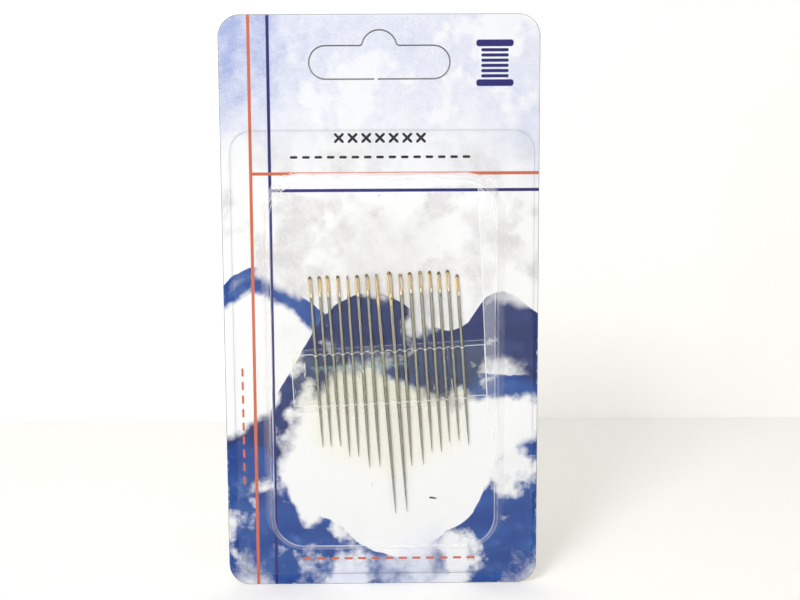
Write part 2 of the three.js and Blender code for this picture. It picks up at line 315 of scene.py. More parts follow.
def new_group(name, inputs, outputs):
    group = bpy.data.node_groups.new(name, "ShaderNodeTree")
    for way, sockets in (("INPUT", inputs), ("OUTPUT", outputs)):
        for label, kind in sockets.items():
            group.interface.new_socket(label, in_out=way, socket_type=f"NodeSocket{kind}")
    return group, group.nodes.new("NodeGroupInput").outputs, group.nodes.new("NodeGroupOutput").inputs


def put_out(group, made, **values):
    for label, value in values.items():
        group.links.new(value, made[label])


def use_group(tree, group, **inputs):
    return add(tree, "ShaderNodeGroup", {"node_tree": group}, **inputs).outputs


# Watercolour: pigment that settles in the paper's hollows and runs a little past the brush
PIGMENT_CLOUD = 0.9
PIGMENT_GRAIN = 0.55
COVER_CLOUD = 2.0
COVER_GRAIN = 0.5
paint, given, made = new_group(
    "watercolour",
    {"Vector": "Vector", "Cover": "Float", "Blotch": "Float"},
    {"Cover": "Float", "Pigment": "Float"},
)
cloudy = uneven(paint, given["Vector"], size=4.5, detail=6.0, roughness=0.68)
settled = uneven(paint, given["Vector"], size=0.55, detail=2.0, roughness=0.6)
pigment = calc(paint, "MULTIPLY_ADD", cloudy, PIGMENT_CLOUD, NOISE_MIDDLE)
pigment = calc(paint, "MULTIPLY_ADD", settled, PIGMENT_GRAIN, pigment)
blotched = product(paint, cloudy, given["Blotch"], COVER_CLOUD)
cover = calc(paint, "MULTIPLY_ADD", blotched, given["Cover"], given["Cover"])
cover = calc(paint, "MULTIPLY_ADD", product(paint, settled, COVER_GRAIN), given["Cover"], cover)
cover, pigment = (
    calc(paint, "MINIMUM", calc(paint, "MAXIMUM", value, 0.0), 1.0) for value in (cover, pigment)
)
put_out(paint, made, Cover=cover, Pigment=pigment)

# Solid ink in a rounded box: a rule, a stitch or a bar
INK_EDGE = 0.05
ink_box, given, made = new_group(
    "ink_box",
    {"X": "Float", "Z": "Float", "Half Width": "Float", "Half Height": "Float", "Round": "Float"},
    {"Ink": "Float"},
)
beyond = []
for way, half in (("X", "Half Width"), ("Z", "Half Height")):
    past = calc(ink_box, "SUBTRACT", calc(ink_box, "ABSOLUTE", given[way]), given[half])
    beyond.append(calc(ink_box, "ADD", past, given["Round"]))
outer = distance(ink_box, *(calc(ink_box, "MAXIMUM", past, 0.0) for past in beyond))
inner = calc(ink_box, "MINIMUM", calc(ink_box, "MAXIMUM", *beyond), 0.0)
reach = calc(ink_box, "SUBTRACT", calc(ink_box, "ADD", outer, inner), given["Round"])
put_out(ink_box, made, Ink=fade(ink_box, reach, -INK_EDGE, INK_EDGE))


def inked(tree, off_x, off_z, half_width, half_height, bend):
    spot = use_group(
        tree, ink_box, X=off_x, Z=off_z, Half_Width=half_width, Half_Height=half_height, Round=bend
    )
    return spot["Ink"]


PAPER = (0.93, 0.93, 0.94, 1)
SKY = (0.66, 0.70, 0.90, 1)
SKY_DEEP = (0.20, 0.28, 0.60, 1)
CLOUD = (0.57, 0.555, 0.575, 1)
ROYAL = (0.034, 0.115, 0.40, 1)
ROYAL_DARK = (0.010, 0.054, 0.27, 1)
ROYAL_PALE = (0.17, 0.30, 0.64, 1)
INDIGO = (0.026, 0.052, 0.20, 1)
INDIGO_DARK = (0.013, 0.024, 0.125, 1)
INDIGO_PALE = (0.07, 0.12, 0.30, 1)
ORANGE = (0.63, 0.15, 0.072, 1)
NAVY = (0.021, 0.020, 0.155, 1)
BLACK_INK = (0.016, 0.014, 0.018, 1)
# Warm cream for the painted shade among the needles
SHADE_CREAM = (0.95, 0.94, 0.875, 1)
SHADE_CREAM_DARK = (0.92, 0.905, 0.81, 1)
CARD_HALF = (card_high.x - card_low.x) / 2 / MM
CARD_HEIGHT = (card_high.z - card_low.z) / MM

# The print, laid out in millimetres: x across from the card's middle, and up from its foot
printed, tree = new_material("printed_board")
place = own_millimetres(tree)
x, _, z = split(tree, place)
up = calc(tree, "SUBTRACT", z, card_low.z / MM)


def brush(colour, cover, light, dark, blotch):
    cover, pigment = use_group(tree, paint, Vector=place, Cover=cover, Blotch=blotch)
    return tint(tree, cover, colour, tint(tree, pigment, light, dark))


def near(across, level, inner, outer, ragged, cover):
    """Cover that fades from inner to outer, round a spot on the card."""
    straight = distance(tree, calc(tree, "SUBTRACT", x, across), calc(tree, "SUBTRACT", up, level))
    away = calc(tree, "ADD", straight, swing(tree, place, size=8.0, reach=ragged, detail=4.0))
    return product(tree, fade(tree, away, inner, outer), cover)


# Sky: a pale wash over the head, left bare where clouds stand, and deepest in one corner
SKY_FROM, SKY_FULL = 84.0, 122.0
SKY_COVER = 0.40
CLOUDS_FROM, CLOUDS_FULL = 54.0, 70.0
CLOUDS_THIN, CLOUDS_GONE = 94.0, 108.0
CLOUD_COVER = 0.95
head = calc(tree, "ADD", up, swing(tree, place, size=15.0, reach=14.0, detail=5.0))
bare = patches(tree, place, size=17.0, detail=5.0, roughness=0.6, between=(0.50, 0.60), low=1.0, high=0.3)
wash = product(tree, ease(tree, head, SKY_FROM, SKY_FULL), bare, SKY_COVER)
left_corner = near(across=-37.0, level=126.0, inner=2.0, outer=26.0, ragged=7.0, cover=0.95)
right_patch = near(across=38.0, level=106.0, inner=3.0, outer=15.0, ragged=6.0, cover=0.3)
colour = brush(PAPER, wash, SKY, SKY_DEEP, blotch=0.5)
colour = brush(colour, left_corner, SKY, SKY_DEEP, blotch=0.9)
colour = brush(colour, right_patch, SKY, SKY_DEEP, blotch=0.8)
puffs = patches(tree, place, size=13.0, detail=5.0, roughness=0.6, between=(0.43, 0.59))
middle_puff = near(across=1.0, level=76.0, inner=4.0, outer=19.0, ragged=8.0, cover=0.6)
band = product(tree, ease(tree, up, CLOUDS_FROM, CLOUDS_FULL), fade(tree, up, CLOUDS_THIN, CLOUDS_GONE))
clouds = product(tree, calc(tree, "MAXIMUM", puffs, middle_puff), band, CLOUD_COVER)
colour = brush(colour, clouds, PAPER, CLOUD, blotch=0.6)

# Painted shade: a faint cream wash behind the needles, with its foot along the line of their points, for the
# warm shade that falls among them
SHADE_MIDDLE = 1.0
SHADE_FOOT = 25.0
SHADE_SLOPE = 0.4
aside = apart(tree, x, SHADE_MIDDLE)
over_points = calc(tree, "SUBTRACT", up, calc(tree, "MULTIPLY_ADD", aside, SHADE_SLOPE, SHADE_FOOT))
needle_shade = product(
    tree,
    ease(tree, over_points, start=-3.0, end=5.0),
    fade(tree, aside, start=15.0, end=21.0),
    fade(tree, up, start=52.0, end=58.0),
)
colour = brush(colour, needle_shade, SHADE_CREAM, SHADE_CREAM_DARK, blotch=0.2)


def crest_line(points):
    """A ridge across the card through a few points, each across it and up it in millimetres."""
    line = add(tree, "ShaderNodeFloatCurve", Value=calc(tree, "MULTIPLY_ADD", x, 0.5 / CARD_HALF, 0.5))
    spots = [(0.5 + across / CARD_HALF / 2, level / CARD_HEIGHT) for across, level in points]
    curve = line.mapping.curves[0]
    curve.points[0].location = spots[0]
    curve.points[1].location = spots[-1]
    for spot in spots[1:-1]:
        curve.points.new(*spot)
    line.mapping.update()
    return product(tree, line.outputs[0], CARD_HEIGHT)


CRISP_CREST = 0.35
LOOSE_CREST = (0.6, 4.0)
LOOSENESS = 0.5
HILL_FOOT = 0.62
HILL_COVER = 1.15
BANK_SPAN = 0.13


def hills(colour, points, pale, light, dark, ragged, depth, mist, cloudy):
    """A range of hills: its crest crisp here and misty there, and its foot lost in banks of cloud."""
    crest = calc(tree, "ADD", crest_line(points), swing(tree, place, size=3.5, reach=ragged, detail=8.0))
    below = calc(tree, "SUBTRACT", crest, up)
    cotton = swing(tree, place, size=7.0, reach=mist, detail=7.0)
    misty = patches(tree, place, size=16.0, detail=1.0, between=(0.48, 0.58))
    crisp = ease(tree, below, 0.0, CRISP_CREST)
    loose = ease(tree, calc(tree, "MULTIPLY_ADD", cotton, LOOSENESS, below), *LOOSE_CREST)
    cover = tint(tree, misty, crisp, loose)
    foot = fade(tree, calc(tree, "ADD", below, cotton), HILL_FOOT * depth, depth)
    levels = (cloudy, cloudy + BANK_SPAN)
    bank = patches(tree, place, size=13.0, detail=6.0, roughness=0.57, between=levels, low=1.0, high=0.04)
    slope = stretched(tree, place, scale=(0.7, 1.0, 1.5), turn=0.6)
    fold = patches(tree, slope, size=7.0, detail=3.0, between=(0.35, 0.65))
    veil = patches(tree, place, size=5.0, detail=8.0, roughness=0.66, between=(0.50, 0.72), high=0.8)
    washed = tint(tree, veil, tint(tree, fold, light, dark), pale)
    return brush(colour, product(tree, cover, foot, bank, HILL_COVER), washed, dark, blotch=0.12)


# Three ranges of hills in morning mist: far at the sides, one behind the needles, and one along the foot
FAR_CREST = [(-36.3, 71), (-30, 75), (-24, 73), (-15, 66), (0, 56), (36.3, 50)]
MIDDLE_CREST = [
    (-36.3, 38), (-26, 44), (-20, 53), (-13, 64), (-5, 69),
    (3, 68), (12, 61.5), (18, 61), (26, 69), (36.3, 64),
]
NEAR_CREST = [
    (-36.3, 34), (-31, 37), (-25, 31), (-19, 19), (-11, 15), (-4, 9),
    (6, 7), (14, 12), (21, 17), (28, 32), (36.3, 37),
]
MIST_SPOTS = ((8.0, 1.5, 14.0), (-9.0, 3.0, 8.0))
royal = (ROYAL_PALE, ROYAL, ROYAL_DARK)
indigo = (INDIGO_PALE, INDIGO, INDIGO_DARK)
colour = hills(colour, FAR_CREST, *royal, ragged=0.7, depth=7.0, mist=1.6, cloudy=0.53)
colour = hills(colour, MIDDLE_CREST, *indigo, ragged=0.6, depth=20.0, mist=4.0, cloudy=0.53)
colour = hills(colour, NEAR_CREST, *royal, ragged=0.9, depth=42.0, mist=6.0, cloudy=0.49)
for across, level, reach in MIST_SPOTS:
    mist = near(across, level, inner=2.0, outer=reach, ragged=9.0, cover=0.9)
    colour = brush(colour, mist, PAPER, SKY, blotch=0.5)

# Rules in orange and navy, printed across both ways
RULE_HALF = 0.36
ORANGE_RULE = (-29.4, 96.4)
NAVY_RULE = (-25.1, 92.6)
inks = []


def bar(ink, across, level, half_width, half_height, bend=0.0):
    off_x, off_z = calc(tree, "SUBTRACT", x, across), calc(tree, "SUBTRACT", up, level)
    inks.append((ink, inked(tree, off_x, off_z, half_width, half_height, bend)))


for ink, (across, level) in ((NAVY, NAVY_RULE), (ORANGE, ORANGE_RULE)):
    bar(ink, across, CARD_HEIGHT / 2, RULE_HALF, CARD_HEIGHT / 2)
    bar(ink, (across + CARD_HALF) / 2, level, (CARD_HALF - across) / 2, RULE_HALF)


def beat_of(value, middle, pitch, count):
    """Place within a row's repeat, and whether the row reaches that far, for an odd count about middle."""
    along = calc(tree, "SUBTRACT", value, middle)
    within = calc(tree, "LESS_THAN", calc(tree, "ABSOLUTE", along), count * pitch / 2)
    return calc(tree, "WRAP", along, pitch / 2, -pitch / 2), within


def running_stitch(ink, along, off, middle, level, pitch, dash, weight, count):
    beat, within = beat_of(along, middle, pitch, count)
    aside = calc(tree, "SUBTRACT", off, level)
    inks.append((ink, product(tree, inked(tree, beat, aside, dash / 2, weight / 2, weight / 2), within)))


def cross_stitch(ink, level, pitch, size, weight, count):
    beat, within = beat_of(x, 0.0, pitch, count)
    beat = calc(tree, "ABSOLUTE", beat)
    off = apart(tree, up, level)
    line = fade(tree, apart(tree, beat, off), weight / 2 - INK_EDGE, weight / 2 + INK_EDGE)
    square = calc(tree, "LESS_THAN", calc(tree, "MAXIMUM", beat, off), size / 2)
    inks.append((ink, product(tree, line, square, within)))


# Rows of stitches: crosses and a running seam at the head, a seam up the left side and one along the foot
cross_stitch(BLACK_INK, level=104.4, pitch=3.1, size=2.2, weight=0.85, count=7)
running_stitch(BLACK_INK, x, up, middle=0.0, level=100.1, pitch=2.8, dash=1.75, weight=0.6, count=15)
running_stitch(ORANGE, up, x, middle=38.0, level=-32.2, pitch=3.2, dash=2.0, weight=0.5, count=9)
running_stitch(ORANGE, x, up, middle=1.5, level=6.2, pitch=3.2, dash=2.0, weight=0.55, count=13)

# A cotton reel in the corner: two flanges and the thread wound between them
REEL_ACROSS, REEL_LEVEL = 26.0, 121.0
FLANGE_RISE = 4.4
THREAD_TURNS = 6
THREAD_PITCH = 1.15
for rise in (-FLANGE_RISE, FLANGE_RISE):
    bar(NAVY, REEL_ACROSS, REEL_LEVEL + rise, half_width=4.2, half_height=0.75, bend=0.6)
for turn in range(THREAD_TURNS):
    rise = THREAD_PITCH * (turn - (THREAD_TURNS - 1) / 2)
    bar(NAVY, REEL_ACROSS, REEL_LEVEL + rise, half_width=3.1, half_height=0.36, bend=0.36)

# A stray fibre and two specks that were sealed in with the needles
SPECK_HALF = 0.13
SPECKS = ((-14.6, 94.6), (-0.3, 91.4))
bar(BLACK_INK, across=11.5, level=20.75, half_width=0.55, half_height=0.2, bend=0.2)
bar(BLACK_INK, across=12.2, level=20.6, half_width=0.5, half_height=0.17, bend=0.17)
for across, level in SPECKS:
    bar(BLACK_INK, across, level, SPECK_HALF, SPECK_HALF, SPECK_HALF)

for ink, spot in inks:
    colour = tint(tree, spot, colour, ink)

# Dust: round specks, of which rarity leaves only a few
SPECK_CORE = 0.012
dust, given, made = new_group(
    "dust", {"Vector": "Vector", "Scale": "Float", "Rarity": "Float", "Size": "Float"}, {"Speck": "Float"}
)
cells = add(dust, "ShaderNodeTexVoronoi", Vector=given["Vector"], Scale=given["Scale"])
lone = calc(dust, "GREATER_THAN", split(dust, cells.outputs["Color"])[0], given["Rarity"])
spot = fade(dust, cells.outputs["Distance"], SPECK_CORE, given["Size"])
put_out(dust, made, Speck=product(dust, spot, lone))

# Dust on the print, and paper showing where handling has worn the cut edge
WORN_RIM = (0.1, 0.45)
speck = use_group(tree, dust, Vector=place, Scale=0.26, Rarity=0.72, Size=0.03)["Speck"]
colour = tint(tree, speck, colour, PAPER)
to_side = calc(tree, "SUBTRACT", CARD_HALF, calc(tree, "ABSOLUTE", x))
to_edge = calc(tree, "MINIMUM", to_side, from_ends(tree, up, CARD_HEIGHT))
chips = patches(tree, place, size=1.1, detail=5.0, roughness=0.7, between=(0.54, 0.64))
colour = tint(tree, product(tree, fade(tree, to_edge, *WORN_RIM), chips), colour, PAPER)
board_front = add(
    tree,
    "ShaderNodeBsdfPrincipled",
    Base_Color=colour,
    Roughness=patches(tree, place, size=2.5, detail=3.0, low=0.30, high=0.40),
    Specular_IOR_Level=0.3,
    Normal=bump(tree, noise(tree, place, size=0.6), depth=0.012 * MM, strength=0.4),
)
surface(tree, board_front)

# Pulp fibres of bare board, for its cut edges and its back
pulp, given, made = new_group("pulp_fibres", {"Vector": "Vector"}, {"Fibre": "Float", "Fleck": "Float"})
turned = stretched(pulp, given["Vector"], scale=(0.35, 1.0, 1.6), turn=0.7)
fibre = noise(pulp, turned, size=0.5, detail=4.0, roughness=0.65)
fleck = patches(pulp, given["Vector"], size=0.45, detail=1.0, between=(0.68, 0.74))
put_out(pulp, made, Fibre=fibre, Fleck=fleck)

# The cut edges are the grey core, painted far darker than the back: partly the board's own grey, partly
# painted shade in the narrow die cuts and along the card's edges
CORE_SHADED_LIGHT = (0.22, 0.22, 0.23, 1)
CORE_SHADED_DARK = (0.10, 0.10, 0.11, 1)
CORE_FLECK = (0.4, 0.4, 0.42, 1)
GREY_LIGHT = (0.60, 0.58, 0.55, 1)
GREY_DARK = (0.47, 0.455, 0.43, 1)
GREY_FLECK = (0.3, 0.3, 0.34, 1)
FLECK_COVER = 0.5


def bare_board(name, light, dark, fleck, rough):
    material, tree = new_material(name)
    fibre, spot = use_group(tree, pulp, Vector=own_millimetres(tree))
    colour = tint(tree, fibre, dark, light)
    colour = tint(tree, product(tree, spot, FLECK_COVER), colour, fleck)
    normal = bump(tree, fibre, depth=0.03 * MM, strength=0.5)
    surface(tree, add(tree, "ShaderNodeBsdfPrincipled", Base_Color=colour, Roughness=rough, Normal=normal))
    return material


shaded_cut_board = bare_board("shaded_cut_board", CORE_SHADED_LIGHT, CORE_SHADED_DARK, CORE_FLECK, rough=0.85)
grey_board = bare_board("grey_back", GREY_LIGHT, GREY_DARK, GREY_FLECK, rough=0.8)
board_faces = (printed, shaded_cut_board, grey_board)


def card_outline(inset):
    return round_rectangle(card_low.xz, card_high.xz, CARD_CORNER, inset)


def slot_outline(inset):
    return euro_outline(-inset)


card_mesh = board_mesh("printed_card", [(card_outline, CUT_ROUND), (slot_outline, DIE_ROUND)])
make_piece("printed_card", card_mesh, board_faces, "card", "backing_card")

# Hang tab
# The board still lying in the euro slot, printed with the card and cut free of it all round but for
# one nick at its foot, on which it folds back.
TAB_CUT = 0.03 * MM
NICK_REACH = 0.95 * DIE_ROUND
nick_foot = SLOT_TOP - SLOT_HEIGHT - NICK_REACH


def tab_outline(inset):
    return euro_outline(TAB_CUT + inset, nick_foot)


tab_mesh = board_mesh("printed_hang_tab", [(tab_outline, DIE_ROUND)])
make_piece("printed_hang_tab", tab_mesh, board_faces, "hang_tab", "hang_tab")

# Back tape
# A strip of clear film tape stuck flat on the card before the needles are laid on it, a little askew.
# It shows by its cut edges, which carry a painted highlight, and by a faint yellow in its adhesive.
SEAL_GAP = 0.02 * MM
TAPE_FILM = 0.06 * MM
BACK_COLUMNS = 24
BACK_ROWS = 8


def strip_frame(node):
    """Where a strip lies that is turned a little left, how long it is and how wide. The matrix starts
    at its foot left corner, and takes X along the strip and Z up across it."""
    points = [v.co.xz for v in frame["nodes"][node].data.vertices]
    foot_left = min(points, key=lambda point: point.y)
    foot_right = max(points, key=lambda point: point.x)
    head_left = min(points, key=lambda point: point.x)
    along = (foot_right - foot_left).normalized()
    lie = Matrix.Rotation(-math.atan2(along.y, along.x), 4, "Y")
    lie.translation = (foot_left.x, 0, foot_left.y)
    return lie, (foot_right - foot_left).length, (head_left - foot_left).length


def close_cut(bm, front_rim, back_rim):
    """The cut edge of a film, square to its two faces."""
    for face in bridge(bm, front_rim, back_rim):
        face.material_index = CUT_FACE
    for edge in edges_of(bm, front_rim) + edges_of(bm, back_rim):
        edge.smooth = False


def strip_mesh(name, rows):
    """A thin closed strip of tape through rows of points on its front face."""
    bm = bmesh.new()
    rims = []
    for behind in (0, TAPE_FILM):
        grid = [[bm.verts.new((along, depth + behind, up)) for along, depth, up in row] for row in rows]
        for low, high in zip(grid, grid[1:]):
            for k in range(len(low) - 1):
                bm.faces.new((low[k], low[k + 1], high[k + 1], high[k])).smooth = True
        right = [line[-1] for line in grid[1:-1]]
        left = [line[0] for line in grid[1:-1]]
        rims.append(grid[0] + right + grid[-1][::-1] + left[::-1])
    close_cut(bm, *rims)
    return finished_mesh(name, bm)


def evenly(start, end, count):
    return [start + (end - start) * k / count for k in range(count + 1)]


FACE_ON_MIRROR = 0.008
GRAZING_MIRROR = 0.5
GRAZING_POWER = 5.0
MIRROR_WHITE = (1, 1, 1, 1)


def mirror_share(tree, normal):
    """How much a clear film mirrors at each angle, shared between its two faces."""
    facing = add(tree, "ShaderNodeLayerWeight", Blend=0.5, Normal=normal)
    grazing = calc(tree, "POWER", facing.outputs["Facing"], GRAZING_POWER)
    return calc(tree, "MULTIPLY_ADD", grazing, GRAZING_MIRROR, FACE_ON_MIRROR)


def blend(tree, share, one, other):
    """One shader, with that share of the other in its place."""
    made = add(tree, "ShaderNodeMixShader", Fac=share)
    tree.links.new(one.outputs[0], made.inputs[1])
    tree.links.new(other.outputs[0], made.inputs[2])
    return made


def film_shader(tree, through, gloss, haze, milk, normal):
    """Clear film: what shows through it, its mirror gloss, and a milky haze that scatters light."""
    clear = add(tree, "ShaderNodeBsdfTransparent", Color=through)
    mirror = add(
        tree,
        "ShaderNodeBsdfPrincipled",
        Base_Color=MIRROR_WHITE,
        Metallic=1.0,
        Roughness=gloss,
        Normal=normal,
    )
    scatter = add(tree, "ShaderNodeBsdfPrincipled", Base_Color=milk, Roughness=0.5)
    film = blend(tree, haze, blend(tree, mirror_share(tree, normal), clear, mirror), scatter)
    to_lamp = tree.nodes.new("ShaderNodeLightPath").outputs["Is Shadow Ray"]
    surface(tree, blend(tree, to_lamp, film, clear))


# Drawn tape: faint clouds and waves along the film, and scratches across it
drawn_tape, given, made = new_group(
    "drawn_tape",
    {"Vector": "Vector"},
    {"Cloud": "Float", "Crumple": "Float", "Scratch": "Float", "Gloss": "Float", "Wave": "Float"},
)
drawn = stretched(drawn_tape, given["Vector"], scale=(0.15, 1.0, 2.2))
scratch = stretched(drawn_tape, given["Vector"], scale=(3.0, 1.0, 0.35), turn=0.45)
put_out(
    drawn_tape,
    made,
    Cloud=patches(
        drawn_tape, drawn, size=1.4, detail=4.0, roughness=0.6, between=(0.35, 0.75), low=0.004, high=0.015
    ),
    Crumple=noise(drawn_tape, drawn, size=1.2),
    Scratch=patches(drawn_tape, scratch, size=1.6, between=(0.71, 0.75), high=0.45),
    Gloss=patches(drawn_tape, given["Vector"], size=1.1, detail=3.0, low=0.10, high=0.22),
    Wave=noise(drawn_tape, drawn, size=0.9, detail=3.0),
)

TENT_PULL = 0.45
TAPE_CLEAR = (0.991, 0.990, 0.982, 1)
TAPE_HAZE = (0.45, 0.72, 0.68, 1)
TAPE_WHITE = (0.95, 0.95, 0.93, 1)
TAPE_WHITE_FROM = 0.2
EDGE_HIGHLIGHT_BAND = (0.07, 0.24)
SCRATCH_HALF = 0.1
SCRATCH_HAZE = 0.75
TAPE_FOLD_BAND = (0.15, 0.65)
TAPE_FOLD_RUN = 0.8
TAPE_FOLD_HAZE = 0.36


def tape_material(name, length, width, flat, edge_highlight, scratched=(), folds=()):
    """Clear tape, with a painted highlight as whitish haze along its cut edges, with any scratches given as
    along, across, half length and lean, and any folds given as the middle along, the middle across and the
    half length."""
    material, tree = new_material(name)
    place = own_millimetres(tree)
    along, depth, across = split(tree, place)
    raised = calc(tree, "SUBTRACT", flat / MM, depth)
    across = calc(tree, "MULTIPLY_ADD", raised, TENT_PULL, across)
    to_side, to_end = from_ends(tree, across, width / MM), from_ends(tree, along, length / MM)
    # Painted highlight: whitish haze in a band along the cut edges, where they catch the light
    edge = ease(tree, calc(tree, "MINIMUM", to_side, to_end), *EDGE_HIGHLIGHT_BAND, edge_highlight, 0.0)
    cloudy, crumple, scratch, gloss, wave = use_group(tree, drawn_tape, Vector=place)
    white = calc(tree, "MAXIMUM", edge, scratch)
    for start, level, half, lean in scratched:
        off_z = calc(tree, "SUBTRACT", across, level)
        off_x = calc(tree, "MULTIPLY_ADD", off_z, lean, calc(tree, "SUBTRACT", along, start))
        line = inked(tree, off_x, off_z, SCRATCH_HALF, half, SCRATCH_HALF)
        white = calc(tree, "MAXIMUM", white, product(tree, line, SCRATCH_HAZE))
    for middle, level, half in folds:
        ends = fade(tree, apart(tree, along, middle), TAPE_FOLD_RUN * half, half)
        sides = fade(tree, apart(tree, across, level), *TAPE_FOLD_BAND)
        cloudy = calc(tree, "MAXIMUM", cloudy, product(tree, ends, sides, crumple, TAPE_FOLD_HAZE))
    haze = calc(tree, "MAXIMUM", white, cloudy)
    milk = tint(tree, ease(tree, white, 0.0, TAPE_WHITE_FROM), TAPE_HAZE, TAPE_WHITE)
    film_shader(tree, TAPE_CLEAR, gloss, haze, milk, bump(tree, wave, depth=0.02 * MM, strength=0.5))
    return material


CUT_HAZE = 0.7
CUT_HAZE_LEAST = 0.525
TAPE_CUT_CLEAR = (0.96, 0.95, 0.93, 1)
TAPE_CUT_WHITE = (0.95, 0.95, 0.94, 1)


def cut_film(name, through, milk):
    """A film's cut edge, which scatters the light that runs inside the film."""
    material, tree = new_material(name)
    place = own_millimetres(tree)
    haze = patches(tree, place, size=0.9, detail=3.0, low=CUT_HAZE_LEAST, high=CUT_HAZE)
    normal = bump(tree, haze, depth=0.02 * MM, strength=0.3)
    film_shader(tree, through, gloss=0.2, haze=haze, milk=milk, normal=normal)
    return material


tape_cut = cut_film("tape_cut_edge", TAPE_CUT_CLEAR, TAPE_CUT_WHITE)
back_lie, back_length, back_width = strip_frame("back_tape")
back_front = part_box("back_tape")[0].y
back_along = evenly(0, back_length, BACK_COLUMNS)
back_rows = [[(along, back_front, up) for along in back_along] for up in evenly(0, back_width, BACK_ROWS)]
back_mesh = strip_mesh("clear_back_tape", back_rows)
back_clear = tape_material("clear_back_tape", back_length, back_width, back_front, edge_highlight=0.22)
back_faces = (back_clear, tape_cut)
make_piece("clear_back_tape", back_mesh, back_faces, "card", "back_tape", back_lie)

# Needles
# Hard-drawn steel wire, nickel plated. Each head is stamped oval, pierced with a long eye and dipped in
# gold, with a gutter on both faces to lead the thread in; the point is ground to a long fine taper.
NEEDLES = [f"needle_{number:02d}" for number in range(1, 17)]
FULL_WIRE_AT = 9 * MM
WIRE_SLICE = 0.1 * MM
END_SLICE = 0.01 * MM
TAPER_CURVE = 0.6
TAPER_STEPS = 18
TAPER_CROWDING = 1.5
TIP_RADIUS = 0.02 * MM
EYE_CROWN = 0.55 * MM
EYE_NECK = 1.9 * MM
EYE_STRETCH = (0.6 * MM, 3.5 * MM)
GUTTER_LENGTH = 2.0 * MM
GUTTER_DEPTH = 0.16 * MM
DARNER_FROM = 50 * MM
FINE = {
    "slot": 3.5 * MM,
    "width": 0.48 * MM,
    "side": 0.21 * MM,
    "thick": 0.46 * MM,
    "taper": 0.5,
    "gold": 4.2 * MM,
    "gold_fade": 1.2 * MM,
}
DARNER = {
    "slot": 4.6 * MM,
    "width": 0.6 * MM,
    "side": 0.27 * MM,
    "thick": 0.6 * MM,
    "taper": 0.74,
    "gold": 5.6 * MM,
    "gold_fade": 3.2 * MM,
}
CROWN_ANGLES = (0, 22, 40, 56)
CROWN_REACH = 0.98
CROWN_BLUNT = 0.02
SLOT_ANGLES = (25, 42, 60, 76, 90)
SLOT_STEPS = 6
SLOT_ROUND = 0.03 * MM
GUTTER_STEPS = 6
SHAFT_STEPS = 5
LEAST_STEP = 0.02 * MM
LIP_SHARE = 0.42
SIDE_POINTS = 9
EDGE_ON = math.radians(60)
EASED_TURN = 0.55


def lie_of(node):
    """How a needle lies: its top, the way up its axis, the way across its eye, its length and wire."""
    points = [v.co.copy() for v in frame["nodes"][node].data.vertices]
    way = next(j["axis"] for j in frame["joints"] if j["name"] == f"{node}_draw")
    axis = Vector(way).normalized()
    heights = [p.dot(axis) for p in points]
    high, low = max(heights), min(heights)
    ends = []
    for limit in (high, low):
        outermost = [p for p, h in zip(points, heights) if abs(h - limit) < END_SLICE]
        ends.append((Vector(map(max, *outermost)) + Vector(map(min, *outermost))) / 2)
    top, tip = ends
    axis = (top - tip).normalized()
    offsets = [(p - top) - axis * (p - top).dot(axis) for p in points]
    through = axis.cross((1, 0, 0)).normalized()
    aside = through.cross(axis)
    eye_from, eye_to = EYE_STRETCH
    eye = [o for o, h in zip(offsets, heights) if eye_from < high - h < eye_to]
    spread = sum(o.dot(aside) ** 2 - o.dot(through) ** 2 for o in eye)
    skew = sum(2 * o.dot(aside) * o.dot(through) for o in eye)
    turn = math.atan2(skew, spread) / 2
    if abs(turn) < EDGE_ON:
        turn *= EASED_TURN
    across = aside * math.cos(turn) + through * math.sin(turn)
    shaft = [o.length for o, h in zip(offsets, heights) if abs(h - low - FULL_WIRE_AT) < WIRE_SLICE]
    return top, axis, across, (top - tip).length, 2 * max(shaft)


